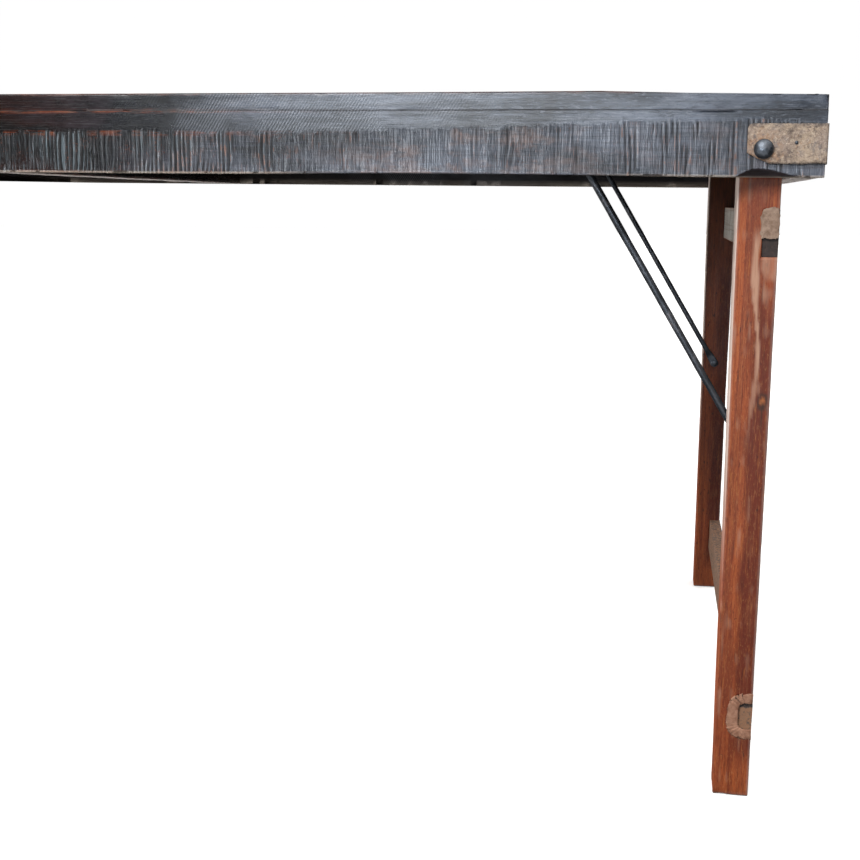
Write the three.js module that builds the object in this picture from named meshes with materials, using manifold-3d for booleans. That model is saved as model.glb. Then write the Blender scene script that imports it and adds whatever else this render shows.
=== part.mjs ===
// A folding trestle table: a planked top on a railed frame, two wooden leg frames that turn on carriage bolts
// and fold up under the top, and on each a pair of iron stays joined by a cross rod that seats in catch hooks.
// Millimetres, +Z up. X runs along the table and Y across it; the origin is on the floor under the top's middle.

import * as THREE from "three";
import { mergeVertices } from "three/addons/utils/BufferGeometryUtils.js";
import Module from "manifold-3d";

const wasm = await Module();
wasm.setup();

// The whole table
const LENGTH = 1830;
const WIDTH = 915;
const HEIGHT = 765;
const END = LENGTH / 2;
const SIDE = WIDTH / 2;
const GAP = 0.3; // between wooden pieces that meet in a joint

// The top: planks laid lengthwise on a frame of rails
const PLANK_COUNT = 6;
const PLANK_THICKNESS = 20;
const PLANK_GAP = 1;
const RAIL_HEIGHT = 66;
const RAIL_THICKNESS = 25;
const CENTRE_RAIL_THICKNESS = 30;
const RAIL_TOP = HEIGHT - PLANK_THICKNESS;
const RAIL_FOOT = RAIL_TOP - RAIL_HEIGHT;
const RAIL_INSIDE = SIDE - RAIL_THICKNESS;

// The leg pivots: one carriage bolt through each end of each long apron
const PIVOT_X = END - 61;
const PIVOT_Z = 707;
const BOLT = { shank: 5, head: 10, dome: 6, hole: 5.3, beyondNut: 2 };
const NUT = { radius: 9.8, height: 8, washer: 11, washerThickness: 2 };
const ARCH = { x: END - 60, width: 56, rise: 7.5 }; // worn hollow under the apron at each pivot

// The corner straps and their nails, measured from the corner
const STRAP = { thickness: 1.5, long: 77.5, short: 70, low: 692, high: 733, round: 6, bevelX: 22, bevelZ: 11 };
const NAIL = { x: END - 29.5, z: 713.5, shank: 1.2, hole: 1.5, head: 1.8, dome: 0.9, length: 20 };

// The leg frames
const SPACER = 2; // between apron and leg, mostly filled by a washer
const SPACER_RADIUS = 14;
const LEG_DEPTH = 45;
const LEG_WIDTH = 45;
const FOOT_WIDTH = 39.5;
const LEG_HOLE = 5.4;
const LEG_OUTSIDE = RAIL_INSIDE - SPACER;
const LEG_INSIDE = LEG_OUTSIDE - LEG_DEPTH;
const STRETCHER = { thickness: 17, height: 49, upper: 598, lower: 70 };

// The stays, their pivots on the legs and the cross rod that joins them
const STAY_PIVOT_Z = 390;
const ROD_RADIUS = 4;
const ROD_X = 648;
const ROD_Z = 729.5;
const EYE = { radius: 10, thickness: 5, hole: 3.4, rodHole: 4.3, neck: 30, rodStart: 14 };
const SCREW = { shank: 3, pilot: 3.3, head: 7, dome: 3, depth: 26 };
const STAY_AXIS_Y = LEG_INSIDE - 1 - ROD_RADIUS;
const STAY_OUTSIDE = STAY_AXIS_Y + ROD_RADIUS;

// The catch: a batten with a shallow seat for the cross rod, and two bent iron hooks under it.
// Seat and lip both slope the way the rod leaves when the legs begin to fold.
const BATTEN = { foot: 732, inner: 618, outer: 698, half: 370 }; // it stops short of the stays
const CATCH = { radius: 4.7, iron: 3, lip: 7, plate: 44, width: 25, y: 200, seatEnd: 130, lipStart: -76.1 };
const LEAVE_SLOPE = 13.9;

const rad = THREE.MathUtils.degToRad;

// Materials

const material = (color, roughness, metalness = 0) =>
  new THREE.MeshStandardMaterial({ color, roughness, metalness });
const topWood = material(0x3b3c40, 0.6);
const legWood = material(0x8a4a30, 0.55);
const paleWood = material(0x8d8780, 0.7);
const iron = material(0x26282a, 0.45, 0.8);
const strapIron = material(0x8f7f6b, 0.8, 0.2);

// Solids

function toSolid(geometry) {
  const bare = geometry.clone();
  bare.deleteAttribute("normal");
  bare.deleteAttribute("uv");
  const merged = mergeVertices(bare, 1e-4);
  const vertProperties = new Float32Array(merged.attributes.position.array);
  const triVerts = new Uint32Array(merged.index.array);
  return new wasm.Manifold(new wasm.Mesh({ numProp: 3, vertProperties, triVerts }));
}

function toGeometry(solid) {
  const { vertProperties, triVerts } = solid.getMesh();
  const geometry = new THREE.BufferGeometry();
  geometry.setAttribute("position", new THREE.BufferAttribute(vertProperties, 3));
  geometry.setIndex(new THREE.BufferAttribute(triVerts, 1));
  geometry.computeVertexNormals();
  return geometry;
}

const join = (...parts) => toGeometry(parts.map(toSolid).reduce((a, b) => a.add(b)));
const cut = (whole, ...tools) => toGeometry(tools.map(toSolid).reduce((a, b) => a.subtract(b), toSolid(whole)));

// An outline in X and Z, carried along Y from y0 to y1
function slab(outline, y0, y1, curveSegments = 8) {
  const geometry = new THREE.ExtrudeGeometry(outline, { depth: y1 - y0, bevelEnabled: false, curveSegments });
  return geometry.rotateX(Math.PI / 2).translate(0, y1, 0);
}

function block(x0, x1, y0, y1, z0, z1) {
  const geometry = new THREE.BoxGeometry(x1 - x0, y1 - y0, z1 - z0);
  return geometry.translate((x0 + x1) / 2, (y0 + y1) / 2, (z0 + z1) / 2);
}

const circle = (x, z, radius) => new THREE.Path().absarc(x, z, radius, 0, 2 * Math.PI, false);

function pin(radius, y0, y1, sides = 24) {
  return new THREE.CylinderGeometry(radius, radius, y1 - y0, sides).translate(0, (y0 + y1) / 2, 0);
}

// A washer, or with six sides a nut, around the Y axis
function ring(outer, hole, y0, y1, sides = 24) {
  return cut(pin(outer, y0, y1, sides), pin(hole, y0 - 1, y1 + 1));
}

// A domed head on a plain shank, turned about Y: the head's flat is at y = 0, the shank runs to -length
function domedPin(shank, length, head, dome) {
  const steps = 5;
  const profile = [new THREE.Vector2(0, -length), new THREE.Vector2(shank, -length), new THREE.Vector2(shank, 0)];
  for (let i = 0; i <= steps; i++) {
    const turn = (i / steps) * (Math.PI / 2);
    profile.push(new THREE.Vector2(i === steps ? 0 : head * Math.cos(turn), dome * Math.sin(turn)));
  }
  return new THREE.LatheGeometry(profile, 24);
}

function mesh(name, geometry, look) {
  const made = new THREE.Mesh(geometry, look);
  made.name = name;
  return made;
}

// Top frame

function planks() {
  const width = (WIDTH - (PLANK_COUNT - 1) * PLANK_GAP) / PLANK_COUNT;
  return Array.from({ length: PLANK_COUNT }, (_, i) => {
    const board = mesh(`top_plank_${i + 1}`, new THREE.BoxGeometry(LENGTH, width, PLANK_THICKNESS), topWood);
    board.position.set(0, -SIDE + width / 2 + i * (width + PLANK_GAP), HEIGHT - PLANK_THICKNESS / 2);
    return board;
  });
}

function apronOutline() {
  const radius = (ARCH.width ** 2 / 4 + ARCH.rise ** 2) / (2 * ARCH.rise);
  const half = Math.asin(ARCH.width / 2 / radius);
  const centre = RAIL_FOOT + ARCH.rise - radius;
  const outline = new THREE.Shape();
  outline.moveTo(-END, RAIL_FOOT);
  for (const x of [-ARCH.x, ARCH.x])
    outline.absarc(x, centre, radius, Math.PI / 2 + half, Math.PI / 2 - half, true);
  outline.lineTo(END, RAIL_FOOT).lineTo(END, RAIL_TOP).lineTo(-END, RAIL_TOP);
  for (const side of [-1, 1]) {
    outline.holes.push(circle(side * PIVOT_X, PIVOT_Z, BOLT.hole));
    outline.holes.push(circle(side * NAIL.x, NAIL.z, NAIL.hole));
  }
  return outline;
}

function rails() {
  const apron = apronOutline();
  const crossRail = (name, x0, x1) =>
    mesh(name, block(x0, x1, -RAIL_INSIDE + GAP, RAIL_INSIDE - GAP, RAIL_FOOT, RAIL_TOP), topWood);
  return [
    mesh("front_apron", slab(apron, -SIDE, -RAIL_INSIDE), topWood),
    mesh("rear_apron", slab(apron, RAIL_INSIDE, SIDE), topWood),
    crossRail("right_end_rail", END - RAIL_THICKNESS, END),
    crossRail("left_end_rail", -END, -END + RAIL_THICKNESS),
    crossRail("centre_rail", -CENTRE_RAIL_THICKNESS / 2, CENTRE_RAIL_THICKNESS / 2),
  ];
}

// The batten's outline about the seated cross rod's centre: its seat is round, then slopes away
function battenGeometry() {
  const foot = BATTEN.foot - ROD_Z;
  const top = RAIL_TOP - ROD_Z;
  const [left, right] = [BATTEN.inner - ROD_X, BATTEN.outer - ROD_X];
  const end = rad(CATCH.seatEnd);
  const rampTop = CATCH.radius * Math.sin(end);
  const rampX = CATCH.radius * Math.cos(end) - (rampTop - foot) / Math.tan(rad(LEAVE_SLOPE));
  const outline = new THREE.Shape();
  outline.moveTo(left, foot);
  outline.lineTo(rampX, foot);
  outline.absarc(0, 0, CATCH.radius, end, Math.asin(foot / CATCH.radius), true);
  outline.lineTo(right, foot).lineTo(right, top).lineTo(left, top);
  return slab(outline, -BATTEN.half, BATTEN.half);
}

// A hook's outline about the seated cross rod's centre: a flat plate that curls under the rod and ends in a lip
function hookGeometry() {
  const plateTop = BATTEN.foot - ROD_Z - GAP;
  const plateFoot = plateTop - CATCH.iron;
  const outer = CATCH.radius + CATCH.iron;
  const start = rad(CATCH.lipStart);
  const slope = rad(LEAVE_SLOPE);
  const lipEnd = (radius) => [
    radius * Math.cos(start) - CATCH.lip * Math.cos(slope),
    radius * Math.sin(start) - CATCH.lip * Math.sin(slope),
  ];
  const outline = new THREE.Shape();
  outline.moveTo(CATCH.radius, plateTop);
  outline.absarc(0, 0, CATCH.radius, 0, start, true);
  outline.lineTo(...lipEnd(CATCH.radius)).lineTo(...lipEnd(outer));
  outline.absarc(0, 0, outer, start, Math.asin(plateFoot / outer), false);
  outline.lineTo(CATCH.plate, plateFoot).lineTo(CATCH.plate, plateTop);
  return slab(outline, -CATCH.width / 2, CATCH.width / 2);
}

// The catch under one end: the batten and its two hooks
function catchGroup(end, side) {
  const group = new THREE.Group();
  group.scale.x = side;
  const batten = mesh(`${end}_catch_batten`, battenGeometry(), topWood);
  batten.position.set(ROD_X, 0, ROD_Z);
  group.add(batten);
  for (const [face, y] of [["front", -CATCH.y], ["rear", CATCH.y]]) {
    const hook = mesh(`${end}_${face}_catch_hook`, hookGeometry(), iron);
    hook.position.set(ROD_X, y, ROD_Z);
    group.add(hook);
  }
  return group;
}

// Corner hardware, modelled at the corner where X and Y are both positive

function strapGeometry() {
  const [inside, outside] = [END - STRAP.long, END + STRAP.thickness];
  const outline = new THREE.Shape();
  outline.moveTo(inside + STRAP.bevelX, STRAP.low);
  outline.lineTo(outside, STRAP.low).lineTo(outside, STRAP.high);
  outline.absarc(inside + STRAP.round, STRAP.high - STRAP.round, STRAP.round, Math.PI / 2, Math.PI, false);
  outline.lineTo(inside, STRAP.low + STRAP.bevelZ);
  outline.holes.push(circle(PIVOT_X, PIVOT_Z, BOLT.hole), circle(NAIL.x, NAIL.z, NAIL.hole));
  const long = slab(outline, SIDE, SIDE + STRAP.thickness);
  const short = block(END, outside, SIDE - STRAP.short, SIDE + STRAP.thickness, STRAP.low, STRAP.high);
  return join(long, short);
}

function cornerGroup(corner, sideX, sideY) {
  const group = new THREE.Group();
  group.scale.set(sideX, sideY, 1);
  const strapFace = SIDE + STRAP.thickness;
  const washerFace = LEG_INSIDE - GAP - NUT.washerThickness;
  const nutFace = washerFace - GAP - NUT.height;
  const boltLength = strapFace + GAP - nutFace + BOLT.beyondNut;
  const onPivot = (name, geometry, y = 0) => {
    const piece = mesh(`${corner}_${name}`, geometry, iron);
    piece.position.set(PIVOT_X, y, PIVOT_Z);
    group.add(piece);
  };
  group.add(mesh(`${corner}_corner_strap`, strapGeometry(), strapIron));
  onPivot("pivot_bolt", domedPin(BOLT.shank, boltLength, BOLT.head, BOLT.dome), strapFace + GAP);
  onPivot("spacer_washer", ring(SPACER_RADIUS, LEG_HOLE, LEG_OUTSIDE + GAP, RAIL_INSIDE - GAP));
  onPivot("nut_washer", ring(NUT.washer, LEG_HOLE, washerFace, LEG_INSIDE - GAP));
  onPivot("pivot_nut", ring(NUT.radius, LEG_HOLE, nutFace, washerFace - GAP, 6));
  const nail = mesh(`${corner}_strap_nail`, domedPin(NAIL.shank, NAIL.length, NAIL.head, NAIL.dome), iron);
  nail.position.set(NAIL.x, strapFace + GAP, NAIL.z);
  group.add(nail);
  return group;
}

// Leg frames, modelled at the right-hand end

// One leg about its pivot: round top, straight outer face notched for the stretchers, tapered inner face
function legGeometry() {
  const [half, floor] = [LEG_WIDTH / 2, -PIVOT_Z];
  const housed = half - STRETCHER.thickness - GAP;
  const outline = new THREE.Shape();
  outline.moveTo(half - FOOT_WIDTH, floor);
  outline.lineTo(half, floor);
  for (const foot of [STRETCHER.lower, STRETCHER.upper]) {
    const low = foot - PIVOT_Z - GAP;
    const high = low + STRETCHER.height + 2 * GAP;
    outline.lineTo(half, low).lineTo(housed, low).lineTo(housed, high).lineTo(half, high);
  }
  outline.absarc(0, 0, half, 0, Math.PI, false);
  outline.holes.push(circle(0, 0, LEG_HOLE));
  const post = slab(outline, LEG_INSIDE, LEG_OUTSIDE);
  const pilot = pin(SCREW.pilot, LEG_INSIDE - 1, LEG_INSIDE + SCREW.depth + 1);
  return cut(post, pilot.translate(0, 0, STAY_PIVOT_Z - PIVOT_Z));
}

function legFrame(end, side) {
  const group = new THREE.Group();
  group.scale.x = side;
  for (const [face, sideY] of [["front", -1], ["rear", 1]]) {
    const leg = mesh(`${end}_${face}_leg`, legGeometry(), legWood);
    leg.position.set(PIVOT_X, 0, PIVOT_Z);
    leg.scale.y = sideY;
    const screw = mesh(
      `${end}_${face}_stay_screw`,
      domedPin(SCREW.shank, SCREW.depth + LEG_INSIDE - STAY_OUTSIDE + EYE.thickness, SCREW.head, SCREW.dome),
      iron,
    );
    screw.position.set(PIVOT_X, sideY * (STAY_OUTSIDE - EYE.thickness - GAP), STAY_PIVOT_Z);
    screw.scale.y = -sideY;
    group.add(leg, screw);
  }
  for (const level of ["upper", "lower"]) {
    const board = mesh(
      `${end}_${level}_stretcher`,
      new THREE.BoxGeometry(STRETCHER.thickness, 2 * LEG_OUTSIDE, STRETCHER.height),
      paleWood,
    );
    board.position.set(
      PIVOT_X + (LEG_WIDTH - STRETCHER.thickness) / 2,
      0,
      STRETCHER[level] + STRETCHER.height / 2,
    );
    group.add(board);
  }
  return group;
}

// Stays, modelled at the right-hand end

// A flat eye at the origin whose neck runs up Z into the rod, with a hole of the radius given
function eyeGeometry(hole) {
  const spread = rad(35);
  const outline = new THREE.Shape();
  outline.absarc(0, 0, EYE.radius, spread, Math.PI - spread, true);
  outline.lineTo(-ROD_RADIUS, EYE.neck).lineTo(ROD_RADIUS, EYE.neck);
  outline.holes.push(circle(0, 0, hole));
  return slab(outline, ROD_RADIUS - EYE.thickness, ROD_RADIUS);
}

// A stay standing on its lower eye, which is at the origin
function stayGeometry(length) {
  const rodLength = length - 2 * EYE.rodStart;
  const rod = new THREE.CylinderGeometry(ROD_RADIUS, ROD_RADIUS, rodLength, 12);
  rod.rotateX(Math.PI / 2).translate(0, 0, length / 2);
  const upperEye = eyeGeometry(EYE.rodHole).rotateY(Math.PI).translate(0, 0, length);
  return join(eyeGeometry(EYE.hole), rod, upperEye);
}

function brace(end, side) {
  const group = new THREE.Group();
  group.scale.x = side;
  const [run, rise] = [PIVOT_X - ROD_X, ROD_Z - STAY_PIVOT_Z];
  for (const [face, sideY] of [["front", -1], ["rear", 1]]) {
    const stay = mesh(`${end}_${face}_stay`, stayGeometry(Math.hypot(run, rise)), iron);
    stay.position.set(PIVOT_X, sideY * STAY_AXIS_Y, STAY_PIVOT_Z);
    stay.rotation.y = -Math.atan2(run, rise);
    stay.scale.y = sideY;
    group.add(stay);
  }
  const crossRod = mesh(`${end}_cross_rod`, pin(ROD_RADIUS, -STAY_OUTSIDE, STAY_OUTSIDE, 12), iron);
  crossRod.position.set(ROD_X, 0, ROD_Z);
  group.add(crossRod);
  return group;
}

// The table

const table = new THREE.Group();
table.name = "folding_table";
table.add(...planks(), ...rails());
for (const [end, side] of [["right", 1], ["left", -1]]) {
  table.add(catchGroup(end, side), legFrame(end, side), brace(end, side));
  table.add(cornerGroup(`front_${end}`, side, -1), cornerGroup(`rear_${end}`, side, 1));
}

export default table;
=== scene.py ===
import math

import bmesh
import bpy
import numpy as np
from mathutils import Matrix, Vector


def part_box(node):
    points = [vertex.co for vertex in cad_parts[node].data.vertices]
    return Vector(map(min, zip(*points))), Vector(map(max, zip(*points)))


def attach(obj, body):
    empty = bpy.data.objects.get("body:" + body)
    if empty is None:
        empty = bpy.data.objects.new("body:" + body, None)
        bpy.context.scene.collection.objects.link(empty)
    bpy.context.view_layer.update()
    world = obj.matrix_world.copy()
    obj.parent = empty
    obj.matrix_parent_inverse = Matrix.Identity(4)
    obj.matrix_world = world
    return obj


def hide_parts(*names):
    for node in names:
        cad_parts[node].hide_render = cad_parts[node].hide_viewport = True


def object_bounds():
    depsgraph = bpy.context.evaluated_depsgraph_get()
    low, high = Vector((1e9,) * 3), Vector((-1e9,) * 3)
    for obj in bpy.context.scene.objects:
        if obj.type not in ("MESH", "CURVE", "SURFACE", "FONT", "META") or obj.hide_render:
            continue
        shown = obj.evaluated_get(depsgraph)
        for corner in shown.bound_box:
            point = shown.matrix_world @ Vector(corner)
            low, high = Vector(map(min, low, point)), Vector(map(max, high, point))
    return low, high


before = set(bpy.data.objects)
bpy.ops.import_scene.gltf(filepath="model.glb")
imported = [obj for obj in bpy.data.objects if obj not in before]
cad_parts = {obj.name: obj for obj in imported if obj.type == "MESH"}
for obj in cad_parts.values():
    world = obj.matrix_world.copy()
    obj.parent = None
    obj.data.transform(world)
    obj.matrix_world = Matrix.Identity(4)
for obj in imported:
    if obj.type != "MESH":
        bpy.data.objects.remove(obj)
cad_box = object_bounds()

MM = 0.001
ENDS = {"right": 1, "left": -1}
FACES = {"front": -1, "rear": 1}
X_AXIS, Y_AXIS, Z_AXIS = np.eye(3)


def corners(node):
    """A CAD node's lowest and highest corners."""
    return [np.array(corner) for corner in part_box(node)]


def towards(side, low, high):
    """The corner that lies towards side, which is 1 or -1."""
    return high if side > 0 else low


def centre_of(node):
    low, high = corners(node)
    return (low + high) / 2


# The table's main lines, from the frame
FLOOR = cad_box[0][2]
PLANK_LOW, PLANK_HIGH = corners("top_plank_1")
TOP = PLANK_HIGH[2]
END = PLANK_HIGH[0]
SIDE = -PLANK_LOW[1]
RAIL_TOP = corners("front_apron")[1][2]
PIVOT = centre_of("rear_right_pivot_bolt")
STRAP_LOW, STRAP_HIGH = corners("rear_right_corner_strap")


# ---------------------------------------------------------------- repeatable noise


def lattice(ix, iy, iz, seed):
    """A repeatable number from 0 to 1 for each whole-numbered point."""
    n = ix * 73856093 + iy * 19349663 + iz * 83492791 + seed * 49979687
    n = (n ^ (n >> 13)) * 1274126177
    n = (n ^ (n >> 16)) * 668265263
    return ((n ^ (n >> 15)) & 0xFFFF) / 0xFFFF


def noise(points, size, seed=0):
    """Smooth noise from -1 to 1 at each point.

    size is the size of one feature in metres: one number, or one per axis.
    """
    scaled = points / np.asarray(size, float)
    cell = np.floor(scaled).astype(np.int64)
    part = scaled - cell
    part = part * part * (3 - 2 * part)
    total = 0
    for dx in (0, 1):
        for dy in (0, 1):
            for dz in (0, 1):
                weight = 1
                for axis, step in enumerate((dx, dy, dz)):
                    weight = weight * (part[..., axis] if step else 1 - part[..., axis])
                corner = lattice(cell[..., 0] + dx, cell[..., 1] + dy, cell[..., 2] + dz, seed)
                total = total + weight * corner
    return 2 * total - 1


def smooth(low, high, value):
    """0 below low, 1 above high, and a smooth step between."""
    t = np.clip((value - low) / (high - low), 0, 1)
    return t * t * (3 - 2 * t)


# ---------------------------------------------------------------- meshes


def rounded_section(width, height, radius, steps, corner_steps=4):
    """Points round a rectangle with rounded corners, centred on 0, and the outward direction at each.

    steps is the spacing, or one each for the upper, left, lower and right side.
    """
    points, ways = [], []
    steps = [steps] * 4 if isinstance(steps, float) else steps
    half = np.array([width / 2 - radius, height / 2 - radius])
    for quarter in range(4):
        angle = quarter * math.pi / 2
        corner = half * np.array([(1, -1, -1, 1)[quarter], (1, 1, -1, -1)[quarter]])
        for k in range(corner_steps + 1):
            turn = angle + k / corner_steps * math.pi / 2
            way = np.array([math.cos(turn), math.sin(turn)])
            points.append(corner + radius * way)
            ways.append(way)
        following = half * np.array([(-1, -1, 1, 1)[quarter], (1, -1, -1, 1)[quarter]])
        end = following + radius * way
        count = max(1, round(np.linalg.norm(end - points[-1]) / steps[quarter]))
        start = points[-1]
        for k in range(1, count):
            points.append(start + (end - start) * k / count)
            ways.append(way)
    return np.array(points), np.array(ways)


def new_piece(name, vertices, faces):
    mesh = bpy.data.meshes.new(name)
    mesh.from_pydata([tuple(v) for v in vertices], [], faces)
    mesh.validate()
    piece = bpy.data.objects.new(name, mesh)
    bpy.context.scene.collection.objects.link(piece)
    return piece


def grid_faces(rows, columns, flip=False):
    """Quads between closed rings of points, with a fan to one last point at each end."""
    index = np.arange(rows * columns).reshape(rows, columns)
    turned = np.roll(index, -1, axis=1)
    quads = np.stack([index[:-1], turned[:-1], turned[1:], index[1:]], axis=-1).reshape(-1, 4)
    first = [(index[0, i], turned[0, i], rows * columns)[::-1] for i in range(columns)]
    last = [(index[-1, i], turned[-1, i], rows * columns + 1) for i in range(columns)]
    faces = [tuple(int(i) for i in face) for face in list(quads) + first + last]
    return [face[::-1] for face in faces] if flip else faces


def beam(name, low, high, along, radius, step, cross_step, shape=None, relief=None, cap_rings=5):
    """A board between two corners, with worn round edges, made of rings along one axis.

    shape(points, out) moves the points first, and relief(points, out) says how far each then moves outwards.
    """
    low, high = np.asarray(low, float), np.asarray(high, float)
    across = [axis for axis in range(3) if axis != along]
    size = high - low
    section, ways = rounded_section(size[across[0]], size[across[1]], radius, cross_step)
    length = size[along]
    turns = np.linspace(0, math.pi / 2, 4)[:-1]
    end_places = radius * (1 - np.cos(turns))
    end_leans = np.cos(turns)
    end_insets = radius * (1 - np.sin(turns))
    inner = np.linspace(radius, length - radius, max(2, round((length - 2 * radius) / step)))
    straight = np.zeros(len(inner))
    places = np.concatenate([end_places, inner, length - end_places[::-1]])
    leans = np.concatenate([end_leans, straight, -end_leans[::-1]])
    insets = np.concatenate([end_insets, straight, end_insets[::-1]])
    points = np.zeros((len(places), len(section), 3))
    out = np.zeros_like(points)
    points[..., along] = low[along] + places[:, None]
    spread = np.sqrt(1 - leans**2)
    for k, axis in enumerate(across):
        middle = (low[axis] + high[axis]) / 2
        points[..., axis] = middle + section[None, :, k] - insets[:, None] * ways[None, :, k]
        out[..., axis] = ways[None, :, k] * spread[:, None]
    out[..., along] = -leans[:, None]
    shrink = np.linspace(1, 0, cap_rings + 1)[1:-1]
    for at_end in (0, -1):
        ring = points[at_end]
        heart = ring.mean(axis=0)
        rings = heart + (ring - heart) * shrink[:, None, None]
        facing = np.zeros((len(shrink), len(section), 3))
        facing[..., along] = -1 if at_end == 0 else 1
        if at_end == 0:
            points, out = np.concatenate([rings[::-1], points]), np.concatenate([facing[::-1], out])
        else:
            points, out = np.concatenate([points, rings]), np.concatenate([out, facing])
    hearts = np.array([points[0].mean(axis=0), points[-1].mean(axis=0)])
    heart_ways = np.array([out[0, 0], out[-1, 0]])
    rows, columns = points.shape[:2]
    points = np.concatenate([points.reshape(-1, 3), hearts])
    out = np.concatenate([out.reshape(-1, 3), heart_ways])
    if shape is not None:
        points, out = shape(points, out)
    if relief is not None:
        points = points + out * relief(points, out)[:, None]
    # X across Y, or Z across X, runs the rings the other way round from the axis they follow
    return new_piece(name, points, grid_faces(rows, columns, flip=along != 1))


def skin(name, rings):
    """A closed piece through rings of points, with a fan at each end."""
    points = np.array(rings)
    hearts = [points[0].mean(axis=0), points[-1].mean(axis=0)]
    vertices = np.concatenate([points.reshape(-1, 3), hearts])
    return face_outwards(new_piece(name, vertices, grid_faces(*points.shape[:2])))


def tube(name, path, sections):
    """A skin along a path: sections gives each ring's two directions and its outline in them."""
    return skin(name, [centre + outline[:, :1] * side + outline[:, 1:] * up
                       for centre, (side, up, outline) in zip(path, sections)])


def face_outwards(piece):
    made = bmesh.new()
    made.from_mesh(piece.data)
    bmesh.ops.recalc_face_normals(made, faces=made.faces)
    made.to_mesh(piece.data)
    made.free()
    return piece


def superellipse(turns, half_width, half_height, power):
    """Points round an outline that goes from an ellipse, at power 1, towards a rectangle, at 0."""
    across, up = np.cos(turns), np.sin(turns)
    return np.stack([half_width * np.sign(across) * np.abs(across) ** power,
                     half_height * np.sign(up) * np.abs(up) ** power], axis=-1)


def oval(half_width, half_height, sides=20, power=1.0):
    return superellipse(np.linspace(0, 2 * math.pi, sides, endpoint=False), half_width, half_height, power)


def frame_across(axis):
    """Two directions square to an axis."""
    axis = np.asarray(axis, float)
    side = np.cross(axis, Z_AXIS if abs(axis[2]) < 0.9 else X_AXIS)
    side /= np.linalg.norm(side)
    return side, np.cross(side, axis)


def turned(name, base, axis, profile, sides=32, dent=0.0, seed=0):
    """A round piece: profile is (distance along the axis, radius) from one end to the other."""
    side, up = frame_across(axis)
    path = [base + np.asarray(axis) * along for along, _ in profile]
    piece = tube(name, path, [(side, up, oval(radius, radius, sides)) for _, radius in profile])
    if dent:
        roughen(piece, dent, 6 * MM, seed)
    return piece


def read_points(piece):
    points = np.zeros(len(piece.data.vertices) * 3)
    piece.data.vertices.foreach_get("co", points)
    return points.reshape(-1, 3)


def read_ways(piece):
    ways = np.zeros(len(piece.data.vertices) * 3)
    piece.data.vertices.foreach_get("normal", ways)
    return ways.reshape(-1, 3)


def write_points(piece, points):
    piece.data.vertices.foreach_set("co", points.reshape(-1))
    piece.data.update()


def roughen(piece, height, size, seed):
    points = read_points(piece)
    write_points(piece, points + read_ways(piece) * (height * noise(points, size, seed))[:, None])


def paint(piece, name, values):
    """Keeps one number per vertex for the materials to read."""
    layer = piece.data.attributes.new(name, "FLOAT", "POINT")
    layer.data.foreach_set("value", np.asarray(values, np.float32))


def joined(name, pieces):
    """One piece made of several."""
    made = bmesh.new()
    for piece in pieces:
        made.from_mesh(piece.data)
    mesh = bpy.data.meshes.new(name)
    made.to_mesh(mesh)
    made.free()
    for piece in pieces:
        bpy.data.objects.remove(piece)
    whole = bpy.data.objects.new(name, mesh)
    bpy.context.scene.collection.objects.link(whole)
    return whole


def place(piece, body, material, slot, *nodes):
    """Finishes a piece: smooth shading, its material, its body, and the CAD nodes it stands for. slot is not
    used.
    """
    piece.data.materials.clear()
    piece.data.materials.append(material)
    piece.data.polygons.foreach_set("use_smooth", [True] * len(piece.data.polygons))
    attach(piece, body)
    if nodes:
        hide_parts(*nodes)
    return piece


# ---------------------------------------------------------------- materials


def colour(text):
    """A linear colour from its usual six-figure web form."""
    parts = [int(text[i:i + 2], 16) / 255 for i in (0, 2, 4)]
    return [*(c / 12.92 if c <= 0.04045 else ((c + 0.055) / 1.055) ** 2.4 for c in parts), 1]


def set_stops(elements, stops):
    """Gives a colour ramp its stops: a place from 0 to 1 and a colour each."""
    while len(elements) < len(stops):
        elements.new(0.5)
    for element, (place, value) in zip(elements, stops):
        element.position = place
        element.color = value


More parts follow.
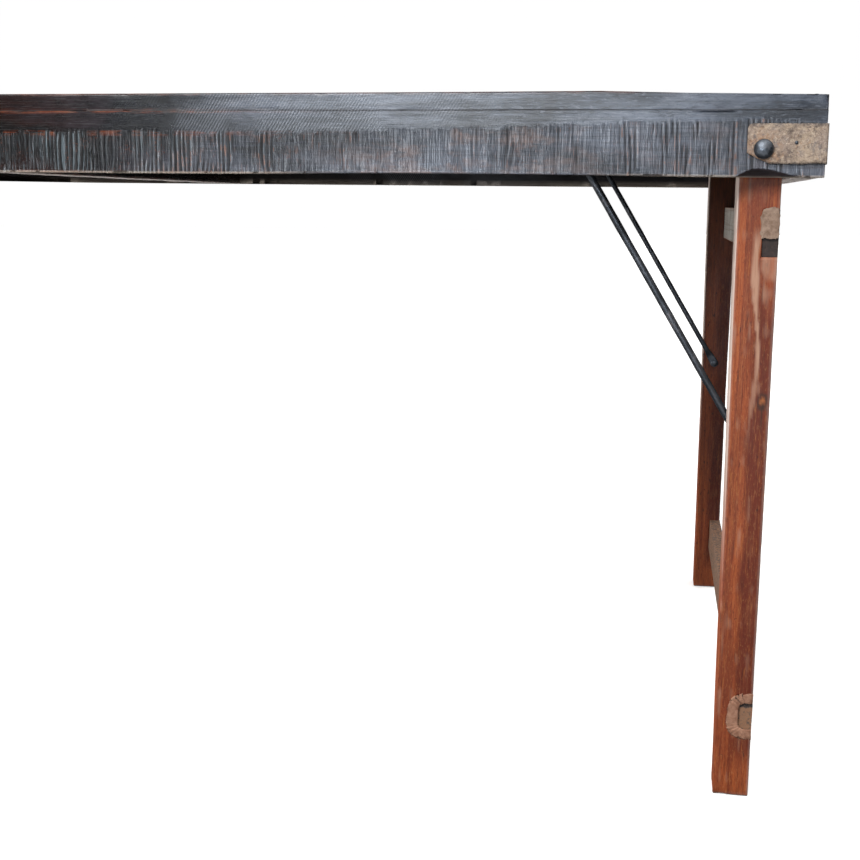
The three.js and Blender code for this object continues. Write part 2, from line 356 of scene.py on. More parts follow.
class Shader:
    """A material's nodes, made by short calls that return sockets."""

    def __init__(self, name, **fixed):
        self.material = bpy.data.materials.new(name)
        self.material.use_nodes = True
        self.tree = self.material.node_tree
        self.surface = self.tree.nodes["Principled BSDF"]
        for socket, value in fixed.items():
            self.surface.inputs[socket.replace("_", " ")].default_value = value
        self.place = self.tree.nodes.new("ShaderNodeTexCoord").outputs["Object"]
        self.moved = (0, 0, 0)
        self.base = colour("ffffff")

    def put(self, socket, value):
        if isinstance(value, bpy.types.NodeSocket):
            self.tree.links.new(value, socket)
        elif value is not None:
            socket.default_value = value

    def node(self, kind, settings=(), **inputs):
        made = self.tree.nodes.new(kind)
        for key, value in dict(settings).items():
            setattr(made, key, value)
        for socket, value in inputs.items():
            self.put(made.inputs[socket.replace("_", " ")], value)
        return made

    def noise(self, size, detail, roughness, distortion=0.0):
        """Noise whose features have a size in metres: one number, or one per axis."""
        size = [size] * 3 if isinstance(size, (int, float)) else size
        scale = [1 / length for length in size]
        place = self.node("ShaderNodeMapping", Vector=self.place, Scale=scale, Location=self.moved).outputs[0]
        made = self.node("ShaderNodeTexNoise", Vector=place, Scale=1.0, Detail=detail,
                         Roughness=roughness, Distortion=distortion)
        return made.outputs["Fac"]

    def attribute(self, name):
        return self.node("ShaderNodeAttribute", {"attribute_name": name}).outputs["Fac"]

    def axis(self, letter):
        return self.node("ShaderNodeSeparateXYZ", Vector=self.place).outputs[letter]

    def ramp(self, fac, *stops):
        made = self.node("ShaderNodeValToRGB", Fac=fac)
        set_stops(made.color_ramp.elements, [(place, colour(text)) for place, text in stops])
        return made.outputs["Color"]

    def span(self, value, low, high, to_low=0.0, to_high=1.0):
        settings = {"clamp": True, "interpolation_type": "SMOOTHSTEP"}
        made = self.node("ShaderNodeMapRange", settings, Value=value)
        for socket, number in zip(list(made.inputs)[1:5], (low, high, to_low, to_high)):
            self.put(socket, number)
        return made.outputs[0]

    def math(self, operation, a, b=None):
        made = self.tree.nodes.new("ShaderNodeMath")
        made.operation = operation
        self.put(made.inputs[0], a)
        self.put(made.inputs[1], b)
        return made.outputs[0]

    def plus(self, first, *others):
        for other in others:
            first = self.math("ADD", first, other)
        return first

    def minus(self, first, second):
        return self.math("SUBTRACT", first, second)

    def times(self, first, *others):
        for other in others:
            first = self.math("MULTIPLY", first, other)
        return first

    def mix(self, fac, a, b):
        made = self.tree.nodes.new("ShaderNodeMix")
        made.data_type = "RGBA"
        self.put(made.inputs[0], fac)
        for socket, value in ((made.inputs[6], a), (made.inputs[7], b)):
            self.put(socket, colour(value) if isinstance(value, str) else value)
        return made.outputs[2]

    def fade(self, value, low, high, most):
        """From 0, where value is at low, to most, where it is at high. Low may be the greater number."""
        return self.span(value, low, high, 0.0, most)

    def tint(self, mask, top):
        """Lays a colour over the base colour where mask is 1."""
        self.base = self.mix(mask, self.base, top)

    def fleck(self, value, low, high, most, top):
        """Lays a colour over the base colour by that fade."""
        self.tint(self.fade(value, low, high, most), top)

    def bump(self, height, depth, strength, under=None):
        made = self.node("ShaderNodeBump", Height=height, Strength=strength, Distance=depth, Normal=under)
        return made.outputs[0]

    def done(self, roughness, normal=None):
        self.put(self.surface.inputs["Base Color"], self.base)
        self.put(self.surface.inputs["Roughness"], roughness)
        self.put(self.surface.inputs["Normal"], normal)
        return self.material


def along_grain(axis, along, across):
    """A texture size that is long along the grain."""
    return [along if i == axis else across for i in range(3)]


def painted_wood(name, grain, shift=0.0, fade=(0.06, 0.5), bare_and_lit_tones=("83776b", "b3a799", "cfc4b6")):
    """Worn charcoal paint on wood: browner and more rubbed towards one end of the table."""
    s = Shader(name, Specular_IOR_Level=0.45)
    wear, saw, groove = s.attribute("wear"), s.attribute("saw"), s.attribute("groove")
    bare_and_lit, inside, level = s.attribute("bare_and_lit"), s.attribute("inside"), s.attribute("level")
    planed_face = s.minus(1.0, saw)
    upright_face = s.minus(1.0, level)
    uneven = s.noise(0.05, 2, 0.5)
    s.moved = (shift, shift * 1.7, shift * 2.3)
    fine = s.noise(along_grain(grain, 0.03, 0.0011), 3, 0.6)
    fibres = s.noise(along_grain(grain, 0.16, 0.0035), 4, 0.6, 0.5)
    clouds = s.noise(along_grain(grain, 0.14, 0.05), 5, 0.6)
    specks = s.noise(0.0019, 3, 0.7)
    along = s.axis("X")
    place = s.plus(along, s.times(s.minus(clouds, 0.5), 0.4))
    toward = s.plus(s.times(s.span(place, *fade), upright_face),
                    s.times(s.span(place, -1.4, 1.6, 0.12, 0.5), level))
    mottle = s.noise(along_grain(grain, 0.011, 0.0024), 4, 0.7, 0.4)
    satin = s.ramp(clouds, (0.37, "22262d"), (0.5, "3a404b"), (0.62, "585f6c"))
    brown = s.ramp(clouds, (0.38, "080505"), (0.5, "0e0908"), (0.6, "251410"))
    s.base = s.mix(toward, brown, satin)
    s.tint(s.times(s.fade(mottle, 0.52, 0.68, 0.55), planed_face), "0c0b0d")
    s.tint(s.times(s.fade(mottle, 0.46, 0.32, 0.45), toward, planed_face), "757b86")
    lift = s.span(toward, 0.0, 1.0, 0.12, 1.0)
    s.fleck(fibres, 0.45, 0.72, 0.6, "111216")
    s.tint(s.times(lift, s.fade(fibres, 0.44, 0.3, 0.4)), "5c6474")
    s.tint(s.times(lift, s.fade(fine, 0.58, 0.74, 0.5)), "6b7484")
    s.fleck(fine, 0.42, 0.28, 0.5, "0d0e12")
    hatch = s.noise((0.009, 0.009, 0.0013), 3, 0.65)
    s.tint(s.times(saw, toward, s.span(hatch, 0.35, 0.65, 0.1, 0.22)), "7b7f87")
    # The sawn band: dark cuts beside pale burrs, hair lines and rusty dust
    threads = s.noise((0.0026, 0.0026, 0.05), 2, 0.5, 0.3)
    thread_cut = s.span(s.math("ABSOLUTE", s.minus(threads, 0.55)), 0.05, 0.01)
    thread_burr = s.span(s.math("ABSOLUTE", s.minus(threads, 0.45)), 0.05, 0.01)
    crowd = s.fade(s.noise((0.03, 0.03, 0.06), 2, 0.5), 0.46, 0.6, 1.0)
    burr = s.times(saw, s.plus(s.span(groove, 0.15, 0.7), s.times(thread_burr, crowd, 0.5)))
    cut = s.times(saw, s.plus(s.span(groove, -0.15, -0.7), s.times(thread_cut, crowd, 0.4)))
    pinkish = s.times(s.span(s.noise(0.012, 3, 0.6), 0.48, 0.58), s.span(toward, 0.2, 0.6))
    pale = s.mix(pinkish, s.mix(toward, colour("66737a"), colour("8d9199")), "a9806e")
    patches = s.times(saw, s.fade(s.noise((0.04, 0.04, 0.016), 5, 0.7, 0.2), 0.46, 0.66, 0.42))
    patches = s.times(patches, s.span(along, 0.36, 0.5), s.span(along, 0.72, 0.6, 0.3, 1.0))
    s.tint(patches, "8d756d")
    s.tint(s.times(burr, s.span(toward, 0.0, 1.0, 0.7, 0.4)), pale)
    s.tint(s.times(cut, s.span(toward, 0.0, 1.0, 0.95, 0.7)), "08080a")
    rust = s.ramp(s.noise(0.02, 3, 0.6), (0.35, "6e3018"), (0.55, "8a4a2e"), (0.75, "85685a"))
    warm = s.noise((0.02, 0.02, 0.03), 3, 0.65)
    dusty = s.times(saw, s.span(specks, 0.55, 0.66), s.span(warm, 0.5, 0.66))
    s.tint(s.times(dusty, s.span(toward, 0.0, 1.0, 1.0, 0.35), 0.6), rust)
    # Rubbed edges show the wood. Inner faces and undersides are darkened as painted shade, and bare faces
    # were never painted, their pale wood lightened further as painted light from the floor
    scuffs = s.noise(along_grain(grain, 0.03, 0.003), 5, 0.7)
    rubbed = s.times(wear, s.span(scuffs, 0.42, 0.6))
    s.tint(s.times(rubbed, s.span(toward, 0.3, 1.0, 0.85, 0.4)), rust)
    s.tint(s.times(inside, 0.85), "150e0c")
    bare_and_lit_colour = s.ramp(fibres, *zip((0.3, 0.5, 0.7), bare_and_lit_tones))
    s.tint(bare_and_lit, bare_and_lit_colour)
    roughness = s.plus(
        s.span(clouds, 0.3, 0.7, 0.03, -0.03),
        s.span(toward, 0.0, 1.0, 0.25, 0.3),
        s.times(s.plus(saw, bare_and_lit), 0.04),
        s.times(cut, s.span(toward, 0.0, 1.0, 0.2, 0.35)),
        s.plus(s.times(inside, 0.35), s.times(level, 0.16)),
        s.fade(fine, 0.5, 0.35, 0.1),
    )
    # Fine slanting marks of the plane, only where it was planed
    slant = s.node("ShaderNodeMapping", Vector=s.place, Rotation=(0, math.radians(-32), 0)).outputs[0]
    ripple = s.node("ShaderNodeTexWave", {"wave_profile": "SIN", "bands_direction": "X"}, Vector=slant,
                    Scale=105.0, Distortion=1.5, Detail=2.0).outputs["Fac"]
    planed = s.times(planed_face, upright_face, ripple, s.span(along, 0.14, 0.3))
    planed = s.times(planed, s.span(along, 0.62, 0.5), s.span(uneven, 0.35, 0.6))
    s.tint(s.times(planed, 0.3), "8c929d")
    normal = s.bump(planed, 0.14 * MM, 0.6)
    normal = s.bump(mottle, 0.35 * MM, 0.5, normal)
    normal = s.bump(fibres, 0.25 * MM, 0.5, normal)
    normal = s.bump(s.times(saw, s.minus(thread_burr, thread_cut)), 0.3 * MM, 0.8, normal)
    normal = s.bump(s.plus(fine, specks), 0.12 * MM, 0.6, normal)
    return s.done(roughness, normal)


def leg_wood(name, shift):
    """Oiled red-brown wood with a long grain, pale scuffs, a crack line and dark pores."""
    s = Shader(name, Specular_IOR_Level=0.25)
    wear, scuff, dark, heart, shade = (s.attribute(a) for a in ("wear", "scuff", "knot", "heart", "shade"))
    s.moved = (shift, shift * 0.7, shift * 1.9)
    bands = s.noise((0.018, 0.018, 0.5), 3, 0.5, 0.8)
    grain = s.noise((0.0022, 0.0022, 0.035), 4, 0.7, 0.8)
    grit = s.noise((0.0013, 0.0013, 0.005), 3, 0.7)
    spots = s.noise((0.004, 0.004, 0.012), 2, 0.5)
    fine = s.noise((0.0009, 0.0009, 0.022), 3, 0.6)
    blotch = s.noise((0.02, 0.02, 0.07), 4, 0.6)
    s.base = s.ramp(bands, (0.3, "7f381e"), (0.43, "a8552c"), (0.52, "a04f2a"), (0.6, "803b22"),
                    (0.72, "9a4f2b"))
    s.tint(s.times(shade, 0.9), "602214")
    s.fleck(grain, 0.45, 0.7, 0.5, "5b2a17")
    s.fleck(grain, 0.46, 0.3, 0.4, "b8743c")
    s.fleck(grit, 0.55, 0.7, 0.5, "4b2014")
    s.fleck(grit, 0.45, 0.3, 0.22, "c9905a")
    s.fleck(fine, 0.58, 0.7, 0.6, "3c1c12")
    s.fleck(fine, 0.42, 0.3, 0.18, "c0845a")
    s.fleck(blotch, 0.58, 0.75, 0.35, "a06a48")
    s.fleck(spots, 0.68, 0.72, 0.6, "2c1813")
    s.tint(s.times(scuff, s.span(grain, 0.3, 0.6, 0.6, 1.0)), "b58b73")
    s.tint(s.times(heart, 0.8), "b06a3a")
    # Knots and dark marks, and on the rear legs painted shade towards the top
    s.tint(s.times(dark, s.span(fine, 0.3, 0.6, 0.75, 1.0)), "35271f")
    # Worn edges, and the pale inner face that is partly painted light
    s.tint(s.times(wear, s.span(blotch, 0.35, 0.6, 0.75, 0.95)), "c4b4aa")
    roughness = s.span(blotch, 0.3, 0.7, 0.5, 0.66)
    normal = s.bump(grain, 0.35 * MM, 0.6)
    normal = s.bump(fine, 0.15 * MM, 0.6, normal)
    return s.done(roughness, normal)


def grey_wood(name, grain, shift):
    """Weathered grey wood with open grain."""
    s = Shader(name)
    wear, stain_and_shade = s.attribute("wear"), s.attribute("stain_and_shade")
    crumbs = s.noise(0.004, 4, 0.7)
    s.moved = (shift, shift * 1.3, shift * 0.6)
    grain_lines = s.noise(along_grain(grain, 0.3, 0.003), 4, 0.6, 0.4)
    fine = s.noise(along_grain(grain, 0.03, 0.0009), 3, 0.6)
    clouds = s.noise(0.06, 4, 0.6)
    s.base = s.ramp(clouds, (0.3, "6b625a"), (0.5, "8b857d"), (0.7, "a39d95"))
    s.fleck(grain_lines, 0.45, 0.7, 0.6, "4a3a31")
    s.fleck(fine, 0.58, 0.72, 0.5, "2e2825")
    s.tint(s.times(wear, 0.5), "8a5a41")
    # The stretchers' darkened ends, with the painted shadow and painted shade of the lower stretcher
    tone = s.plus(stain_and_shade, s.times(s.minus(crumbs, 0.5), 1.3))
    stain_and_shade_colours = s.ramp(tone, (0.1, "7a6654"), (0.5, "94694b"), (0.62, "6a5547"), (0.85, "37261f"),
                     (1.0, "2a1d19"))
    s.tint(s.span(stain_and_shade, 0.0, 0.4), stain_and_shade_colours)
    normal = s.bump(grain_lines, 0.4 * MM, 0.6)
    normal = s.bump(s.times(crumbs, stain_and_shade), 1.2 * MM, 0.8, normal)
    normal = s.bump(fine, 0.2 * MM, 0.6, normal)
    return s.done(s.span(clouds, 0.3, 0.7, 0.62, 0.8), normal)


def plaster(name, pale, dark):
    """Old wood filler: matt, chalky and pitted."""
    s = Shader(name)
    clouds = s.noise(0.009, 5, 0.65)
    pits = s.noise(0.0016, 3, 0.6)
    s.base = s.ramp(clouds, (0.3, dark), (0.6, pale))
    s.fleck(pits, 0.6, 0.75, 0.7, "4a423b")
    return s.done(0.85, s.bump(s.plus(clouds, pits), 0.4 * MM, 0.8))


def dark_iron(name, rust_amount=0.3, bright=False):
    """Forged iron: near black, with a dull shine and rust in the low spots; bright is rubbed clean."""
    s = Shader(name)
    clouds = s.noise(0.02, 5, 0.65)
    scale = s.noise(0.0025, 4, 0.6)
    if bright:
        s.base = s.ramp(clouds, (0.3, "3a3d42"), (0.55, "50555c"), (0.75, "70767e"))
    else:
        s.base = s.ramp(clouds, (0.3, "2b2e32"), (0.55, "44484e"), (0.75, "666b72"))
    rusty = s.ramp(scale, (0.3, "3a2219"), (0.7, "6b4630"))
    s.tint(s.times(s.span(clouds, 0.55, 0.72), s.span(scale, 0.4, 0.6), rust_amount), rusty)
    s.put(s.surface.inputs["Metallic"], s.span(clouds, 0.5, 0.75, 0.75, 0.4))
    smoothest = 0.26 if bright else 0.36
    return s.done(s.span(scale, 0.3, 0.7, smoothest, 0.5), s.bump(scale, 0.25 * MM, 0.7))


def stained_strap(name):
    """Strap iron under old beige paint: brown stains, rusty blooms and bruises."""
    s = Shader(name)
    edge, bolt_rust = s.attribute("wear"), s.attribute("bolt_rust")
    clouds = s.noise(0.013, 6, 0.75, 0.15)
    blooms = s.noise(0.006, 5, 0.7, 0.2)
    grit = s.noise(0.0013, 3, 0.6)
    s.base = s.ramp(clouds, (0.38, "62544b"), (0.46, "8f7d6d"), (0.53, "a99685"), (0.61, "817670"))
    broad = s.noise(0.03, 4, 0.6, 0.3)
    s.fleck(broad, 0.5, 0.62, 0.65, "8a786e")
    s.fleck(broad, 0.5, 0.38, 0.55, "b7a189")
    s.fleck(blooms, 0.56, 0.7, 0.55, "a67b52")
    s.fleck(blooms, 0.42, 0.3, 0.75, "5d4840")
    s.tint(s.times(bolt_rust, s.span(blooms, 0.42, 0.56, 0.05, 0.55)), "9c7150")
    pebbles = s.noise(0.0034, 3, 0.65)
    s.fleck(pebbles, 0.52, 0.66, 0.6, "54463e")
    s.fleck(pebbles, 0.46, 0.34, 0.5, "cdbba5")
    s.fleck(grit, 0.57, 0.7, 0.6, "493a33")
    s.fleck(grit, 0.42, 0.3, 0.45, "cfc2b4")
    s.tint(s.times(edge, s.span(blooms, 0.4, 0.52, 0.2, 1.0), 0.85), "3a3637")
    normal = s.bump(clouds, 1.4 * MM, 0.8)
    normal = s.bump(s.plus(blooms, grit, pebbles), 0.9 * MM, 0.9, normal)
    return s.done(s.span(blooms, 0.3, 0.7, 0.6, 0.82), normal)


PAINT_X = painted_wood("painted_wood_long", 0)
# Across the table the bare undersides are paler still: unpainted wood with painted light from the floor
PAINT_Y = painted_wood("painted_wood_across", 1, 3.1, (5.0, 6.0), ("b5a8a0", "dacfc9", "eee6e2"))
IRON = dark_iron("dark_iron")
BOLT_IRON = dark_iron("bolt_iron", 0.2, True)
NAIL_IRON = dark_iron("nail_iron", 0.8)
STRAP = stained_strap("stained_strap")
FILLER = plaster("wood_filler", "a18876", "6a503d")
HALO = plaster("old_glue", "a87c64", "7a4f38")


# ---------------------------------------------------------------- boards


def edge_wear(points, low, high, reach):
    """1 along a board's edges, falling to 0 at reach from them."""
    to_face = np.minimum(points - low, high - points)
    ordered = np.sort(np.abs(to_face), axis=1)
    return 1 - smooth(0, reach, ordered[:, 1])


def crown(x):
    """How far the top's front edge lies below the highest point, along the table."""
    places = [-END, -0.5, 0.0, 0.5, 0.69, 0.78, END]
    drops = np.array([2.2, 1.2, 1.0, 0.6, 0.0, 2.4, 4.2]) * MM
    return np.interp(x, places, drops)


def joint_wear(x):
    """How far the paint is rubbed off the joint of planks and aprons: most from the middle to the left."""
    return smooth(0.5, 0.1, x)


def plank(number):
    node = f"top_plank_{number}"
    low, high = corners(node)
    front, rear = number == 1, number == 6
    seed = 20 + number

    def shape(points, out):
        height = (points[:, 2] - low[2]) / (high[2] - low[2])
        drop = MM
        if front or rear:
            side = 1 if front else -1
            edge, joint = towards(-side, low, high)[1], towards(side, low, high)[1]
            drop = crown(points[:, 0] * side) * (1 - 0.6 * smooth(edge, joint, points[:, 1]))
        points[:, 2] -= height * drop
        return points, out

    def relief(points, out):
        long_waves = 0.5 * MM * noise(points, (0.22, 0.05, 0.03), seed)
        grain = 0.22 * MM * noise(points, (0.05, 0.004, 0.006), seed + 1)
        dents = noise(points, (0.03, 0.014, 0.009), seed + 2)
        edge = edge_wear(points, low, high, 6 * MM)
        upper = smooth(low[2] + 4 * MM, high[2] - 4 * MM, points[:, 2])
        chips = np.clip(noise(points, (0.012, 0.006, 0.005), seed + 3) - 0.35, 0, 1) * edge * 2.2 * MM
        chips = chips * (0.1 + 0.9 * upper) + 0.9 * MM * edge_wear(points, low, high, 3 * MM) * upper
        chips += 1.6 * MM * smooth(END - 6 * MM, END, np.abs(points[:, 0])) * edge * upper
        away = 0.6 * long_waves + grain - np.clip(dents - 0.5, 0, 1) * 1.2 * MM - chips - 0.3 * MM
        return np.where(out[:, 2] < -0.5, 0, away)

    step = 2.2 * MM if front else 4 * MM
    cross = [4.2 * MM, 1.6 * MM, 5 * MM, 1.6 * MM] if front or rear else 4.2 * MM
    board = beam(node + "_board", low, high, 0, 0.4 * MM, step, cross, shape, relief)
    points = read_points(board)
    above = points[:, 2] - low[2]
    height = above / (high[2] - low[2])
    rubbed = np.maximum(smooth(0, 1, height), joint_wear(points[:, 0]) * 0.5)
    paint(board, "wear", edge_wear(points, low, high, 4 * MM) * rubbed)
    # Painted shade: the plank's underside is darkened
    paint(board, "inside", smooth(MM, 0.4 * MM, above))
    inwards = np.minimum(points[:, 1] - low[1], high[1] - points[:, 1]) if front or rear else 1
    paint(board, "level", smooth(0.7, 0.85, height) * smooth(0, 3 * MM, inwards))
    return place(board, "table_top", PAINT_X, "top_wood", node)


def saw_limit(x):
    """The height below which the aprons' outer faces were left rough from the saw."""
    return np.interp(x, [0.35, 0.585, 0.795], [0.7225, 0.727, 0.7345])


def saw_marks(points, seed):
    """Upright cuts of the saw (towards -1), each with a raised burr beside it (towards 1)."""
    flat = points * np.array([1, 0, 1])
    sway = 0.9 * MM * noise(flat, (0.03, 1, 0.03), seed)
    from_centre = np.abs(points[:, 0])
    middle = smooth(0.25, 0.42, from_centre) * smooth(0.75, 0.6, from_centre)
    far = smooth(0.4, 0.25, from_centre)
    least = 0.35 * (1 - middle)
    crowding = least + (1 - least) * smooth(-0.3 + 0.3 * middle, 0.3, noise(flat, (0.022, 1, 0.08), seed + 3))
    pitch = 5 * MM
    phase = (points[:, 0] + sway) / pitch + 0.7 * noise(flat, (0.02, 1, 0.09), seed + 1)
    phase = phase + 0.35 * noise(flat, (0.007, 1, 0.05), seed + 2)
    within = phase - np.floor(phase)
    cut = smooth(0.36, 0.12, np.abs(within - 0.35))
    burr = smooth(0.24, 0.08, np.abs(within - 0.8))
    each = smooth(-0.35 - 0.35 * far, 0.35 - 0.35 * far, noise(flat, (0.006, 1, 0.035), seed + 4))
    return (burr - cut) * each * crowding


def apron(name, side):
    low, high = corners(name)
    outer = towards(side, low, high)[1]
    seed = 40 if side < 0 else 60
    hollow_half, hollow_rise = 30 * MM, 8.5 * MM

    def facing_out(points):
        return smooth(4 * MM, MM, np.abs(points[:, 1] - outer))

    def sawn_share(points):
        """1 on the outer face below the saw's limit, where the saw's marks were left."""
        ragged = 2.0 * MM * noise(points * X_AXIS, 0.0035, seed + 4)
        ragged += 1.5 * MM * noise(points * X_AXIS, 0.02, seed + 9)
        below = smooth(MM, -MM, points[:, 2] - saw_limit(points[:, 0] * -side) - ragged)
        return below * facing_out(points)

    def marks_at(points):
        """The saw's marks: shallower about half way to one end, where they also fade downwards."""
        x = points[:, 0] * -side
        height = np.clip((points[:, 2] - low[2]) / (high[2] - low[2]), 0, 1)
        fading = smooth(0.3, 0.5, x) * smooth(0.75, 0.6, x) * (1 - height) * 0.6
        strength = np.interp(x, [0.0, 0.3, 0.5, 0.62, 0.9], [1.0, 1.0, 0.7, 0.95, 0.8]) * (1 - fading)
        return saw_marks(points, seed) * strength

    def shape(points, out):
        x = np.abs(points[:, 0])
        from_apex = x - (PIVOT[0] - 5 * MM)
        reach = np.where(from_apex < 0, hollow_half * 0.8, hollow_half * 1.45)
        hollow = hollow_rise * np.cos(np.clip(from_apex / reach, -1, 1) * math.pi / 2) ** 1.4
        seen_x = points[:, 0] * -side
        waver = 1.6 * MM * smooth(0.25, 0.5, seen_x) * smooth(0.85, 0.55, seen_x)
        height = (points[:, 2] - low[2]) / (high[2] - low[2])
        scooped = smooth(15 * MM, MM, np.abs(points[:, 1] - outer))
        points[:, 2] += (hollow * scooped + waver) * (1 - height) ** 3
        return points, out

    def relief(points, out):
        share = sawn_share(points)
        cuts = marks_at(points) * 0.5 * MM
        waves = 0.5 * MM * noise(points, (0.2, 0.05, 0.02), seed + 5)
        grain = 0.12 * MM * noise(points, (0.05, 0.004, 0.004), seed + 6)
        edge = edge_wear(points, low, high, 5 * MM)
        lower = smooth(high[2] - 5 * MM, low[2] + 5 * MM, points[:, 2])
        chips = np.clip(noise(points, (0.014, 0.006, 0.006), seed + 7) - 0.4, 0, 1) * edge * lower * MM
        gaps = noise(points * X_AXIS, 0.012, seed + 11) * smooth(0.45, 0.65, points[:, 0] * -side)
        closed = smooth(0.4, 0.1, gaps)
        away = share * (cuts - 0.2 * MM) + (1 - share) * grain + 0.5 * waves - chips - 0.3 * MM
        return np.where(out[:, 2] > 0.5, 0.26 * MM * closed, away)

    step = 1.2 * MM if side < 0 else 1.8 * MM
    seen_step, hidden_step = 2.4 * MM, 11.0 * MM
    if side < 0:
        steps = [hidden_step, seen_step, seen_step, hidden_step]
    else:
        steps = [hidden_step, hidden_step, seen_step, seen_step]
    board = beam(name + "_board", low, high, 0, 0.4 * MM, step, steps, shape, relief)
    points = read_points(board)
    share = sawn_share(points)
    # The paint is rubbed through along the sawn band's upper limit, and along the joint with the planks
    limit = saw_limit(points[:, 0] * -side)
    patchy = smooth(-0.5, 0.1, noise(points * X_AXIS, 0.006, seed + 10))
    near_limit = smooth(2.6 * MM, 0.8 * MM, np.abs(points[:, 2] - limit + 0.5 * MM)) * patchy
    near_joint = smooth(1.8 * MM, 0.6 * MM, RAIL_TOP - points[:, 2])
    worn_end = joint_wear(points[:, 0] * -side)
    lower = smooth(high[2] - 5 * MM, low[2] + 5 * MM, points[:, 2])
    edges = edge_wear(points, low, high, 3.5 * MM) * lower * (0.35 + 0.65 * worn_end)
    wear = np.maximum(edges, np.maximum(near_limit, near_joint) * worn_end)
    outwards = facing_out(points)
    paint(board, "wear", np.where(outwards > 0.5, wear, 0.5 * wear))
    paint(board, "saw", share)
    paint(board, "groove", marks_at(points))
    # The bottom face is bare wood, paled as painted light from below; the faces that do not look out are
    # darkened as painted shade
    paint(board, "bare_and_lit", smooth(MM, 0.2 * MM, points[:, 2] - low[2] - 0.4 * MM) * 0.6)
    paint(board, "inside", 1 - outwards)
    return place(board, "table_top", PAINT_X, "top_wood", name)


def cross_board(node, body, radius, seed, pale_foot=0.0, step=4 * MM):
    """A rail or batten that runs across the table."""
    low, high = corners(node)

    def relief(points, out):
        waves = 0.4 * MM * noise(points, (0.03, 0.2, 0.03), seed)
        grain = 0.2 * MM * noise(points, (0.005, 0.06, 0.005), seed + 1)
        return waves + grain - 0.4 * MM

    board = beam(node + "_board", low, high, 1, radius, step, 3 * MM, None, relief)
    points = read_points(board)
    paint(board, "wear", edge_wear(points, low, high, 4 * MM))
    # The foot is bare wood, paled as painted light from below
    paint(board, "bare_and_lit", pale_foot * smooth(2 * MM, 0.5 * MM, points[:, 2] - low[2]))
    return place(board, body, PAINT_Y, "top_wood", node)


# ---------------------------------------------------------------- leg frames


def cut_away(piece, boxes):
    """Cuts boxes, given by their corners, out of a piece."""
    made = bmesh.new()
    for low, high in boxes:
        middle = (Vector(low) + Vector(high)) / 2
        size = Vector(high) - Vector(low)
        bmesh.ops.create_cube(made, size=1, matrix=Matrix.Translation(middle) @ Matrix.Diagonal((*size, 1)))
    mesh = bpy.data.meshes.new("cutter")
    made.to_mesh(mesh)
    made.free()
    cutter = bpy.data.objects.new("cutter", mesh)
    bpy.context.scene.collection.objects.link(cutter)
    modifier = piece.modifiers.new("notches", "BOOLEAN")
    modifier.object = cutter
    modifier.operation = "DIFFERENCE"
    modifier.solver = "EXACT"
    evaluated = piece.evaluated_get(bpy.context.evaluated_depsgraph_get())
    piece.data = bpy.data.meshes.new_from_object(evaluated)
    piece.modifiers.clear()
    bpy.data.objects.remove(cutter)
    return piece


def housing(end, level):
    """The box cut out of both legs for a stretcher: open outwards, and a little wider inwards."""
    clearance, past = 0.4 * MM, 0.05
    low, high = corners(f"{end}_{level}_stretcher")
    low[1] -= past
    high[1] += past
    inner, outer = (low, high) if ENDS[end] > 0 else (high, low)
    inner[0] -= clearance * ENDS[end]
    outer[0] += past * ENDS[end]
    return low, high


def leg_scuffs(points, across, above, seed):
    """A pale streak down from the upper joint, a rubbed patch under that joint, and small scuffs all over.

    across is measured from the leg's outer edge, and above from the upper stretcher's foot.
    """
    centre_line = 19.2 * MM + 3.3 * MM * np.sin((above + 60 * MM) / (32 * MM))
    width = 3.2 * MM + 1.6 * MM * noise(points * Z_AXIS, 0.03, seed + 4)
    width += 1.2 * MM * noise(points, (0.006, 0.006, 0.012), seed + 6)
    width += 1.8 * MM * smooth(-0.08, -0.02, above)
    streak = smooth(width, 0.5 * width, np.abs(across - centre_line))
    streak *= smooth(-0.22, -0.1, above) * smooth(35 * MM, 10 * MM, above)
    ragged = 7 * MM * noise(points, (0.005, 0.02, 0.012), seed + 7)
    ragged += 6 * MM * noise(points, (0.0022, 0.02, 0.02), seed + 10)
    rubbed = smooth(19 * MM, 14 * MM, across) * smooth(-24 * MM, -15 * MM, above + ragged)
    rubbed *= 0.7 * smooth(2 * MM, -MM, above)
    rubbed *= 0.7 + 0.4 * noise(points, (0.003, 0.02, 0.012), seed + 12)
    small = np.clip(noise(points, (0.004, 0.02, 0.02), seed + 5) - 0.4, 0, 1) * 1.2
    return np.clip(np.maximum(streak, rubbed) + small, 0, 1)


